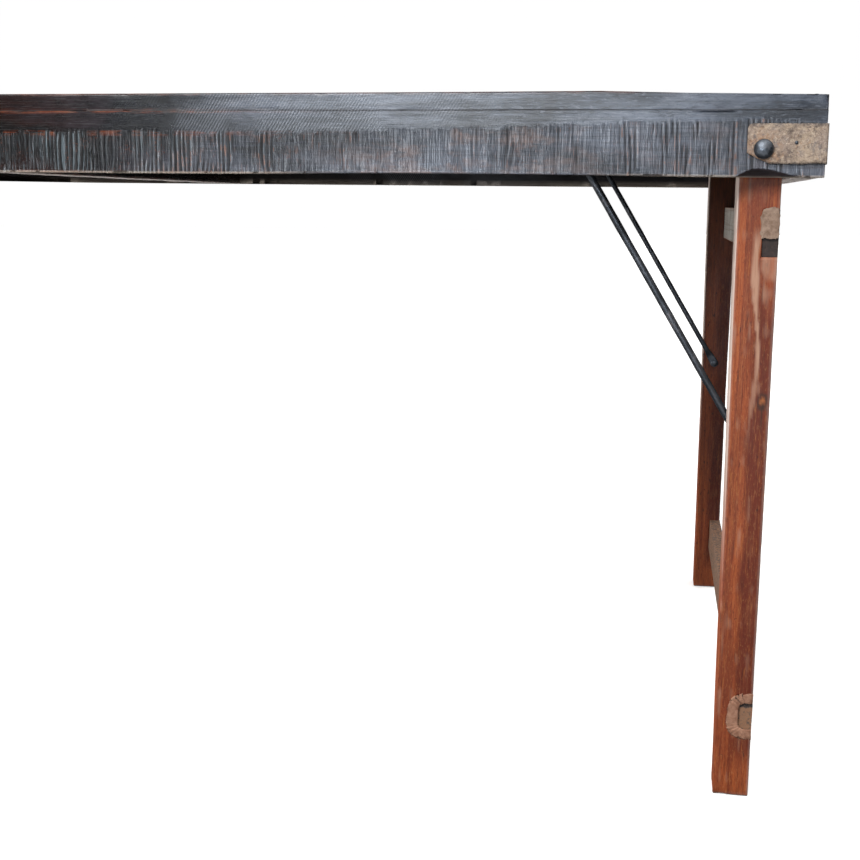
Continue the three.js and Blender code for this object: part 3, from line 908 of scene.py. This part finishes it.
def leg(end, face):
    side_x, side_y = ENDS[end], FACES[face]
    node = f"{end}_{face}_leg"
    low, high = corners(node)
    outer, inner = towards(side_x, low, high)[0], towards(-side_x, low, high)[0]
    front = towards(side_y, low, high)[1]
    half = (high[0] - low[0]) / 2
    taper = 5.5 * MM
    seed = 80 + 7 * (side_x + 1) + 3 * (side_y + 1)

    def squeeze_at(z):
        """The share of the leg's width that its taper has taken off the inner side."""
        return taper * smooth(PIVOT[2], 0, z) ** 0.9 / (2 * half)

    def shape(points, out):
        across = (points[:, 0] - outer) / (inner - outer)
        squeeze = squeeze_at(points[:, 2])
        above = np.clip(points[:, 2] - PIVOT[2], 0, half)
        round_top = 1 - np.sqrt(np.clip(1 - (above / half) ** 2, 0, 1))
        points[:, 0] += (outer - points[:, 0]) * squeeze * (across > 0)
        middle = (outer + inner) / 2
        points[:, 0] += (middle - points[:, 0]) * round_top * 0.98
        return points, out

    def relief(points, out):
        waves = 0.9 * MM * noise(points, (0.03, 0.03, 0.16), seed)
        grain = 0.16 * MM * noise(points, (0.004, 0.004, 0.05), seed + 1)
        edge = edge_wear(points, low, high, 6 * MM)
        chips = np.clip(noise(points, (0.008, 0.008, 0.02), seed + 2) - 0.3, 0, 1) * edge * 2.6 * MM
        return 0.5 * waves + grain - chips - 0.5 * MM

    post = beam(node + "_post", low, high, 2, 2.0 * MM, 3 * MM, 2.2 * MM, shape, relief)
    cut_away(post, [housing(end, level) for level in ("upper", "lower")])
    points = read_points(post)
    points[:, 2] = np.maximum(points[:, 2], low[2])
    write_points(post, points)
    across = np.abs(points[:, 0] - outer)
    upper_foot = corners(f"{end}_upper_stretcher")[0][2]
    above = points[:, 2] - upper_foot
    on_front = smooth(6 * MM, 2 * MM, np.abs(points[:, 1] - front))
    paint(post, "scuff", leg_scuffs(points, across, above, seed) * on_front)
    shade = smooth(26 * MM, 15 * MM, across + 3 * MM * noise(points * Z_AXIS, 0.05, seed + 9))
    shade *= smooth(0, -0.09, above) * smooth(0.02, 0.07, points[:, 2])
    paint(post, "shade", np.clip(shade + 0.1, 0, 1))
    # A knot with a crack below it, and a smaller dark mark lower down; on the rear leg's sides also painted
    # shade, darker towards the top
    knot_centre = np.array([outer - side_x * 8.3 * MM, front, upper_foot - 0.152])
    knot_size = np.array([5, 40, 8]) * MM
    from_knot = np.linalg.norm((points - knot_centre) / knot_size, axis=1)
    from_knot += 0.2 * noise(points, 4 * MM, seed + 8)
    paint(post, "heart", smooth(0.8, 0.4, from_knot))
    knot = smooth(1.45, 1.0, from_knot) * smooth(0.45, 0.8, from_knot) * 0.8
    mark_centre = np.array([inner + side_x * 2 * MM, front, 0.27 * upper_foot + 0.045])
    mark_size = np.array([4, 40, 9]) * MM
    from_mark = np.linalg.norm((points - mark_centre) / mark_size, axis=1)
    knot = np.maximum(knot, smooth(1.2, 0.5, from_mark))
    painted_shade = 0.85 * smooth(upper_foot - 0.15, PIVOT[2], points[:, 2]) * (face == "rear")
    crack_line = knot_centre[0] + 2 * MM * noise(points, 0.02, seed)
    crack = smooth(1.6 * MM, 0.5 * MM, np.abs(points[:, 0] - crack_line))
    crack *= smooth(-40 * MM, -20 * MM, points[:, 2] - knot_centre[2]) * (points[:, 2] < knot_centre[2])
    paint(post, "knot", np.clip(knot + 0.7 * crack, 0, 1) * on_front + painted_shade * (1 - on_front))
    # The inner face is paled through the wear mark: partly bare wood, partly painted light from the side
    inner_face = inner + (outer - inner) * squeeze_at(points[:, 2])
    inside = smooth(2.2 * MM, 1.2 * MM, np.abs(points[:, 0] - inner_face)) * smooth(0.2, 0.45, points[:, 2])
    paint(post, "wear", np.clip(edge_wear(points, low, high, 3 * MM) * 0.5 + inside, 0, 1))
    return place(post, f"{end}_leg_frame", leg_wood(node + "_wood", 1.3 * seed), "leg_wood", node)


def stretcher(end, level):
    node = f"{end}_{level}_stretcher"
    low, high = corners(node)
    seed = 120 + 5 * ENDS[end] + (2 if level == "upper" else 0)
    recess = 3 * MM

    def relief(points, out):
        waves = 0.5 * MM * noise(points, (0.02, 0.15, 0.02), seed)
        grain = 0.2 * MM * noise(points, (0.004, 0.05, 0.004), seed + 1)
        housed = smooth(high[1] - 52 * MM, high[1] - 48 * MM, np.abs(points[:, 1]))
        level_face = np.abs(out[:, 2]) > 0.5
        uneven = (0.5 * waves + grain - 0.3 * MM) * (1 - 0.5 * housed)
        uneven = np.where(np.abs(out[:, 1]) > 0.9, -0.3 * MM, uneven)
        return np.where(level_face, -0.02 * MM, uneven)

    low[1] += recess
    high[1] -= recess
    board = beam(node + "_board", low, high, 1, 0.5 * MM, 3 * MM, 1.6 * MM, None, relief, 12)
    points = read_points(board)
    paint(board, "wear", edge_wear(points, low, high, 3 * MM))
    # The end faces are darkened: the upper stretcher's end dark, the lower one's brown with painted shadow
    # along its top; the rest of the lower stretcher is darkened as painted shade
    end_face = smooth(high[1] - 2.5 * MM, high[1] - 0.5 * MM, np.abs(points[:, 1]))
    if level == "upper":
        paint(board, "stain_and_shade", end_face)
    else:
        shadowed_top = smooth(high[2] - 17 * MM, high[2] - 13 * MM, points[:, 2])
        paint(board, "stain_and_shade", end_face * (0.5 + 0.45 * shadowed_top) + (1 - end_face) * 0.6)
    place(board, f"{end}_leg_frame", grey_wood(node + "_wood", 1, 0.9 * seed), "stretcher_wood", node)
    board.data.polygons.foreach_set("use_smooth", [abs(face.normal.y) < 0.9 for face in board.data.polygons])
    return board


def blob(name, centre, half_width, half_height, thickness, face_y, seed, power):
    """A ragged flat patch on a face that looks along Y, thin at its edge and thicker inside."""
    sides = 64
    outline = oval(half_width, half_height, sides, power)
    ring = np.stack([outline[:, 0], np.zeros(sides), outline[:, 1]], axis=1)
    ragged = 1 + 0.1 * noise(ring, 4 * MM, seed) + 0.06 * noise(ring, 1.6 * MM, seed + 1)
    rings = []
    for share, rise in ((0.9, -0.4), (1.0, 0.0), (0.97, 0.6), (0.85, 0.9), (0.6, 1.0), (0.3, 0.9)):
        points = centre + ring * (ragged[:, None] ** share) * share
        points[:, 1] = centre[1] + face_y * thickness * rise
        rings.append(points)
    points = np.array(rings)
    bumps = 0.25 * thickness * noise(points, 5 * MM, seed + 2)
    points[2:, :, 1] += face_y * bumps[2:]
    return skin(name, points)


def glue_collar(name, edge, front, end, side_y, seed):
    """A ragged band of old glue round the lower joint, open at the leg's outer edge."""
    middle = centre_of(f"{end}_lower_stretcher")[2] - 0.5 * MM
    turns = np.linspace(math.radians(90.02), math.radians(269.98), 70)
    outer = superellipse(turns, 28 * MM, 26.5 * MM, 0.6)
    inner = superellipse(turns, 15 * MM, 15 * MM, 0.4)
    shares = np.linspace(0, 1, 9)[:, None]
    heights = np.sin(shares[:, 0] * math.pi) ** 0.5 * 0.5 * MM
    rings = []
    for rim, hole in zip(outer, inner):
        spot = np.array([[rim[0] * 9, rim[1], 0.0]])
        ragged = 2.2 * MM * noise(spot, 5 * MM, seed)[0] + MM * noise(spot, 2 * MM, seed + 3)[0]
        thick = 1 + 0.5 * noise(spot, 3 * MM, seed + 1)[0]
        shift = ragged * np.array([rim[0] < -4 * MM, np.sign(rim[1])])
        across = hole + (rim - hole + shift) * shares
        rise = front + side_y * (heights * thick - 0.35 * MM)
        upper = np.stack([edge + across[:, 0] * ENDS[end], rise, middle + across[:, 1]], axis=1)
        lower = upper[::-1][1:-1].copy()
        lower[:, 1] = front - side_y * 1.2 * MM
        rings.append(np.concatenate([upper, lower]))
    return skin(name, rings)


def joint_filler(end, face):
    """Filler smeared over the upper joint, and old glue round the lower one."""
    side_x, side_y = ENDS[end], FACES[face]
    leg_low, leg_high = corners(f"{end}_{face}_leg")
    front = towards(side_y, leg_low, leg_high)[1]
    seed = 150 + 4 * side_x + 2 * side_y
    middle = centre_of(f"{end}_upper_stretcher")
    spot = np.array([middle[0] - side_x * 1.2 * MM, front - side_y * 0.2 * MM, middle[2] + 9.8 * MM])
    patch = blob(f"{end}_{face}_filler", spot, 9.6 * MM, 16.2 * MM, 0.7 * MM, side_y, seed, 0.4)
    points = read_points(patch)
    points[:, 0] = np.clip(points[:, 0], leg_low[0], leg_high[0])
    write_points(patch, points)
    place(patch, f"{end}_leg_frame", FILLER, "stretcher_wood")
    edge = towards(side_x, leg_low, leg_high)[0]
    collar = glue_collar(f"{end}_{face}_old_glue", edge, front, end, side_y, seed)
    place(collar, f"{end}_leg_frame", HALO, "stretcher_wood")


# ---------------------------------------------------------------- iron


def bent_plate(name, path, widths, width_way, thickness, seed, rough=0.15 * MM, step=1.5 * MM):
    """A flat bar bent along a path in the plane square to width_way.

    widths gives where its two long edges lie at each point, measured along width_way.
    """
    path = np.asarray(path, float)
    ahead = np.gradient(path, axis=0)
    ahead /= np.linalg.norm(ahead, axis=1)[:, None]
    up = np.cross(ahead, width_way)
    radius = thickness * 0.4
    rings = []
    for centre, lift, (low, high) in zip(path, up, widths):
        count = max(4, round((widths[0][1] - widths[0][0]) / step))
        section, _ = rounded_section(1.0, thickness, radius, 1.0 / count, 3)
        across = section[:, 0] + 0.5
        width = high - low
        rings.append(centre + np.outer(low + across * width, width_way) + np.outer(section[:, 1], lift))
    piece = skin(name, rings)
    roughen(piece, rough, 7 * MM, seed)
    return piece


def corner_strap(end, face):
    side_x, side_y = ENDS[end], FACES[face]
    corner = f"{face}_{end}"
    node = f"{corner}_corner_strap"
    thickness = STRAP_HIGH[0] - END
    seed = 170 + 3 * side_x + side_y
    mid = thickness / 2
    bend = 2.2 * MM
    first = np.linspace(STRAP_LOW[0], END + mid - bend, 56)
    turn = np.linspace(0, math.pi / 2, 7)[1:-1]
    last = np.linspace(SIDE + mid - bend, STRAP_LOW[1], 46)
    path = [(x, SIDE + mid) for x in first]
    path += [(END + mid - bend + bend * math.sin(t), SIDE + mid - bend + bend * math.cos(t)) for t in turn]
    path += [(END + mid, y) for y in last]
    path = np.array([(x * side_x, y * side_y, 0.0) for x, y in path])
    distance = np.concatenate([[0], np.cumsum(np.linalg.norm(np.diff(path, axis=0), axis=1))])
    total = distance[-1]
    along = np.stack([distance, distance * 0, distance * 0], axis=1)
    foot, top = STRAP_LOW[2] + 0.3 * MM, STRAP_HIGH[2] - 0.5 * MM
    bevel = 11 * MM * (1 - np.clip(distance / (22 * MM), 0, 1))
    rounding = 5 * MM * (1 - np.sqrt(1 - (1 - np.clip(distance / (6 * MM), 0, 1)) ** 2))
    rounding += 3 * MM * (1 - np.sqrt(1 - (1 - np.clip((total - distance) / (4 * MM), 0, 1)) ** 2))
    lows = foot + bevel + 0.7 * MM * noise(along, 9 * MM, seed) + rounding * (distance > total / 2)
    highs = top - rounding + 0.4 * MM * noise(along, 8 * MM, seed + 1)
    strap = bent_plate(node + "_iron", path, list(zip(lows, highs)), Z_AXIS, thickness * 0.9, seed, 0.12 * MM)
    low, high = corners(node)
    points = np.clip(read_points(strap), low, high)
    write_points(strap, points)
    edge = np.minimum(points[:, 2] - foot, top - points[:, 2])
    paint(strap, "wear", smooth(3.6 * MM, 0.8 * MM, edge + 1.2 * MM * noise(points, 4 * MM, seed + 2)))
    bolt = centre_of(f"{corner}_pivot_bolt")
    from_bolt = np.hypot(points[:, 0] - bolt[0], points[:, 2] - bolt[2])
    paint(strap, "bolt_rust", smooth(24 * MM, 11 * MM, from_bolt) * (np.abs(points[:, 1]) > SIDE))
    return place(strap, "table_top", STRAP, "strap_iron", node)


def dome(name, centre, way, radius, height, sides=48, flats=0.0, seed=0):
    """A nail or bolt head: its skirt is in the face and its dome stands out along way."""
    turns = np.linspace(0, math.pi / 2, 10)[:-1]
    profile = [(-0.8 * MM, radius * 0.9), (0, radius)]
    profile += [(height * math.sin(t), radius * math.cos(t)) for t in turns[1:]]
    return turned(name, np.asarray(centre), np.asarray(way, float), profile, sides, flats, seed)


def pivot_bolt(end, face):
    side_y = FACES[face]
    corner = f"{face}_{end}"
    node = f"{corner}_pivot_bolt"
    low, high = corners(node)
    middle = (low + high) / 2
    outer, tip = towards(side_y, low, high)[1], towards(-side_y, low, high)[1]
    head_height, head_radius, skirt = 6 * MM, 10 * MM, 0.5 * MM
    shank, lead_in, threaded, pitch = 5 * MM, 1.2 * MM, 22 * MM, 1.5 * MM
    base = np.array([middle[0], outer - side_y * head_height, middle[2]])
    length = abs(base[1] - tip)
    profile = [(-length, shank * 0.8), (-length + lead_in, shank)]
    for k in range(int(threaded / pitch)):
        at = -length + lead_in + k * pitch
        profile += [(at + 0.4 * pitch, shank * 0.88), (at + 0.9 * pitch, shank)]
    profile += [(-0.02 * MM, shank), (0.0, head_radius - 0.6 * MM), (skirt, head_radius)]
    for turn in np.linspace(0, math.pi / 2, 12)[1:-1]:
        rise = (head_height - skirt) * math.sin(turn)
        profile.append((skirt + rise, head_radius * math.cos(turn)))
    bolt = turned(node + "_iron", base, Y_AXIS * side_y, profile, 64, 0.12 * MM, 190)
    return place(bolt, "table_top", BOLT_IRON, "iron", node)


def stay(end, face):
    side_x, side_y = ENDS[end], FACES[face]
    node = f"{end}_{face}_stay"
    lower = centre_of(f"{end}_{face}_stay_screw")
    upper = centre_of(f"{end}_cross_rod")
    low, high = corners(node)
    outer = towards(side_y, low, high)[1]
    rod, eye, flat = 4 * MM, 6.6 * MM, 2.2 * MM
    start = np.array([lower[0], outer - side_y * rod, lower[2]])
    finish = np.array([upper[0], outer - side_y * rod, upper[2]])
    length = np.linalg.norm(finish - start)
    ahead = (finish - start) / length
    across = np.cross(ahead, Y_AXIS)
    near = np.concatenate([-eye * np.cos(np.linspace(0.05, math.pi / 2, 10)), np.linspace(1, 32, 16) * MM])
    middle = np.linspace(36 * MM, length - 36 * MM, 80)
    along = np.concatenate([near, middle, length - near[::-1]])
    path, sections = [], []
    for t in along:
        from_end = min(t, length - t)
        if from_end < 0:
            wide = math.sqrt(max(eye**2 - from_end**2, 1e-8))
        else:
            blend = float(smooth(0, 30 * MM, from_end))
            wide = eye * (1 - blend) + rod * blend
        round_share = float(smooth(12 * MM, 32 * MM, from_end))
        thick = flat * (1 - round_share) + rod * round_share
        thick = min(thick, wide)
        shift = side_y * (rod - thick)
        path.append(start + ahead * t + Y_AXIS * shift)
        sections.append((across, Y_AXIS, oval(wide, thick, 24, 0.45 + 0.55 * round_share)))
    bar = tube(node + "_iron", path, sections)
    roughen(bar, 0.18 * MM, 14 * MM, 200 + side_x + side_y)
    return place(bar, f"{end}_brace", IRON, "iron", node)


def cross_rod(end):
    node = f"{end}_cross_rod"
    low, high = corners(node)
    base = np.array([(low[0] + high[0]) / 2, low[1], (low[2] + high[2]) / 2])
    length = high[1] - low[1]
    profile = [(0, 2.8 * MM), (0.6 * MM, 3.7 * MM)]
    profile += [(t, 3.85 * MM) for t in np.linspace(2 * MM, length - 2 * MM, 150)]
    profile += [(length - 0.6 * MM, 3.7 * MM), (length, 2.8 * MM)]
    rod = turned(node + "_iron", base, Y_AXIS, profile, 24, 0.12 * MM, 210)
    return place(rod, f"{end}_brace", IRON, "iron", node)


def stay_screw(end, face):
    side_y = FACES[face]
    node = f"{end}_{face}_stay_screw"
    low, high = corners(node)
    middle = (low + high) / 2
    inner = towards(-side_y, low, high)[1]
    base = np.array([middle[0], inner + side_y * 3 * MM, middle[2]])
    head = dome(node + "_head", base, -Y_AXIS * side_y, 4.8 * MM, 1.3 * MM, 40, 0.08 * MM, 220)
    shank = turned(node + "_shank", base, Y_AXIS * side_y,
                   [(0, 3 * MM), (25 * MM, 3 * MM), (31 * MM, 0.6 * MM)], 24)
    screw = joined(node + "_iron", [head, shank])
    return place(screw, f"{end}_leg_frame", IRON, "iron", node)


def catch_hook(end, face):
    side_x = ENDS[end]
    node = f"{end}_{face}_catch_hook"
    low, high = corners(node)
    rod = centre_of(f"{end}_cross_rod")
    thickness = 3 * MM
    curl = 4.7 * MM + thickness / 2
    plate_z = high[2] - thickness / 2 - rod[2]
    tip = side_x * (towards(side_x, low, high)[0] - rod[0])
    first = [(x, plate_z) for x in np.linspace(tip, curl + 1.5 * MM, 22)]
    turns = np.linspace(math.radians(-2), math.radians(-76), 16)
    arc = [(curl * math.cos(t), curl * math.sin(t)) for t in turns]
    start = arc[-1]
    slope = math.radians(13.9)
    lip = [(start[0] - along * math.cos(slope), start[1] - along * math.sin(slope))
           for along in np.linspace(1, 6.6, 6) * MM]
    path = [np.array([rod[0] + side_x * x, 0.0, rod[2] + z]) for x, z in first + arc + lip]
    widths = [(low[1], high[1])] * len(path)
    hook = bent_plate(node + "_plate", path, widths, Y_AXIS, thickness * 0.94, 230, 0.06 * MM)
    heads = [hook]
    screw_places = ((18, -6), (34, 6))
    for k, (x, y) in enumerate(screw_places):
        centre = (rod[0] + side_x * x * MM, centre_of(node)[1] + y * MM, high[2] - thickness + 0.2 * MM)
        heads.append(dome(f"hook_screw_{k}", centre, -Z_AXIS, 3.4 * MM, 1.6 * MM, 24))
    piece = joined(node + "_iron", heads)
    return place(piece, "table_top", IRON, "iron", node)


def keep_cad(node, material):
    """A CAD piece whose shape is right gets its material and a small bevel."""
    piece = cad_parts[node]
    piece.data.materials.clear()
    piece.data.materials.append(material)
    bevel = piece.modifiers.new("worn_edges", "BEVEL")
    bevel.width = 0.3 * MM
    bevel.segments = 2
    bevel.limit_method = "ANGLE"
    bevel.angle_limit = math.radians(40)
    return piece


def nail_heads(name, body, spots, way, radius, height):
    heads = [dome(f"{name}_{k}", spot, way, radius, height, 16, 0.1 * MM, 240 + k)
             for k, spot in enumerate(spots)]
    return place(joined(name, heads), body, NAIL_IRON, "iron")


# ---------------------------------------------------------------- the object

for number in range(1, 7):
    plank(number)
apron("front_apron", -1)
apron("rear_apron", 1)
for end, side_x in ENDS.items():
    cross_board(f"{end}_end_rail", "table_top", 1.2 * MM, 100 + side_x, pale_foot=0.9)
    cross_board(f"{end}_catch_batten", "table_top", MM, 104 + side_x)
    for level in ("upper", "lower"):
        stretcher(end, level)
    cross_rod(end)
    for face in FACES:
        leg(end, face)
        joint_filler(end, face)
        corner_strap(end, face)
        pivot_bolt(end, face)
        stay(end, face)
        stay_screw(end, face)
        catch_hook(end, face)
        for part in ("spacer_washer", "nut_washer", "pivot_nut"):
            keep_cad(f"{face}_{end}_{part}", IRON)
        keep_cad(f"{face}_{end}_strap_nail", NAIL_IRON)
cross_board("centre_rail", "table_top", 1.5 * MM, 108, pale_foot=0.9)

# Two nails in each plank over each rail and batten
nail_lines = (-END + 12 * MM, -0.66, 0.0, 0.66, END - 12 * MM)
from_plank_middle = 45 * MM
top_spots = []
rng = np.random.default_rng(7)
for number in range(1, 7):
    middle_y = centre_of(f"top_plank_{number}")[1]
    for x in nail_lines:
        for side in (-1, 1):
            off_x, off_y = rng.uniform(-3, 3, 2) * MM
            y = middle_y + side * from_plank_middle + off_y
            top_spots.append((x + off_x, y, TOP - 2.2 * MM))
nail_heads("top_nails", "table_top", top_spots, Z_AXIS, 3 * MM, 0.7 * MM)


# ---------------------------------------------------------------- floor, light and camera


def stage_floor():
    bpy.ops.mesh.primitive_plane_add(size=60, location=(0, 0, FLOOR - 0.5 * MM))
    floor = bpy.context.object
    floor.name = "floor"
    s = Shader("pale_floor", Emission_Strength=0.45)
    s.put(s.surface.inputs["Emission Color"], colour("ffffff"))
    s.base = colour("f4f3f1")
    floor.data.materials.append(s.done(0.9))
    floor.visible_diffuse = floor.visible_glossy = False


def area_light(name, place_at, target, size, power, spread=180):
    light = bpy.data.lights.new(name, "AREA")
    light.shape = "RECTANGLE"
    light.size, light.size_y = size
    light.energy = power
    light.spread = math.radians(spread)
    made = bpy.data.objects.new(name, light)
    made.location = place_at
    made.rotation_euler = (Vector(target) - Vector(place_at)).to_track_quat("-Z", "Y").to_euler()
    made.visible_camera = False
    bpy.context.scene.collection.objects.link(made)
    return made


def backdrop():
    """A white wall all round that only the camera sees, so that it throws no light of its own."""
    bpy.ops.mesh.primitive_cylinder_add(vertices=96, radius=28, depth=40, end_fill_type="NOTHING")
    wall = bpy.context.object
    wall.name = "backdrop"
    s = Shader("white_wall", Emission_Strength=1.0)
    s.put(s.surface.inputs["Emission Color"], colour("ffffff"))
    s.base = colour("000000")
    wall.data.materials.append(s.done(1.0))
    wall.visible_diffuse = wall.visible_glossy = wall.visible_shadow = False


def world_light(below, level, above):
    """Dim below the horizon and near it, and bright overhead."""
    world = bpy.data.worlds.new("studio")
    bpy.context.scene.world = world
    world.use_nodes = True
    nodes, links = world.node_tree.nodes, world.node_tree.links
    place_at = nodes.new("ShaderNodeTexCoord")
    split = nodes.new("ShaderNodeSeparateXYZ")
    spread = nodes.new("ShaderNodeValToRGB")
    halved = nodes.new("ShaderNodeMapRange")
    halved.inputs["From Min"].default_value = -1
    links.new(place_at.outputs["Generated"], split.inputs[0])
    links.new(split.outputs["Z"], halved.inputs["Value"])
    links.new(halved.outputs[0], spread.inputs["Fac"])
    stops = (0.0, below), (0.49, below), (0.52, level), (0.72, level), (0.88, above)
    set_stops(spread.color_ramp.elements, [(place, [value] * 3 + [1]) for place, value in stops])
    links.new(spread.outputs[0], nodes["Background"].inputs["Strength"])
    nodes["Background"].inputs["Color"].default_value = (1, 1, 1, 1)


def fitted_camera():
    """The photograph's place, turn and lens. focal_share is the focal length over the picture's width."""
    place_at = Vector((END - 0.1622, -SIDE - 1.3706, 0.6514))
    yaw, pitch, roll = 0.1708, 0.1743, 0.0104
    focal_share = 1.5072907
    ahead_flat = Vector((-math.sin(yaw), math.cos(yaw), 0))
    right = Vector((math.cos(yaw), math.sin(yaw), 0))
    ahead = ahead_flat * math.cos(pitch) - Vector((0, 0, 1)) * math.sin(pitch)
    up = ahead_flat * math.sin(pitch) + Vector((0, 0, 1)) * math.cos(pitch)
    across = right * math.cos(roll) + up * math.sin(roll)
    upright = up * math.cos(roll) - right * math.sin(roll)
    camera = bpy.data.cameras.new("camera")
    camera.sensor_width = 36
    camera.lens = camera.sensor_width * focal_share
    made = bpy.data.objects.new("camera", camera)
    columns = Matrix((across, upright, -ahead)).transposed().to_4x4()
    made.matrix_world = Matrix.Translation(place_at) @ columns
    bpy.context.scene.collection.objects.link(made)
    bpy.context.scene.camera = made


stage_floor()
backdrop()
world_light(0.02, 0.025, 1.7)
area_light("key_softbox", (-0.4, -3.6, 3.1), (0.5, -SIDE, 0.5), (1.7, 1.4), 165)
area_light("left_fill", (-4.5, 0.3, 0.42), (END, -0.2, 0.45), (1.0, 0.6), 240)
area_light("floor_bounce", (0.35, -1.7, 0.02), (0.35, -1.6, 1.0), (2.4, 0.5), 14)
underneath = area_light("under_bounce", (0.2, 0.0, 0.02), (0.2, 0.001, 1.0), (2.2, 0.95), 4, 40)
underneath.visible_glossy = False
card = area_light("sheen_card", (0.14, -3.4, 1.0), (0.5, -SIDE, 0.73), (0.95, 0.7), 46)
card.visible_diffuse = False
card.data.color = (0.88, 0.94, 1.0)
fitted_camera()
bpy.context.scene.view_settings.view_transform = "Standard"
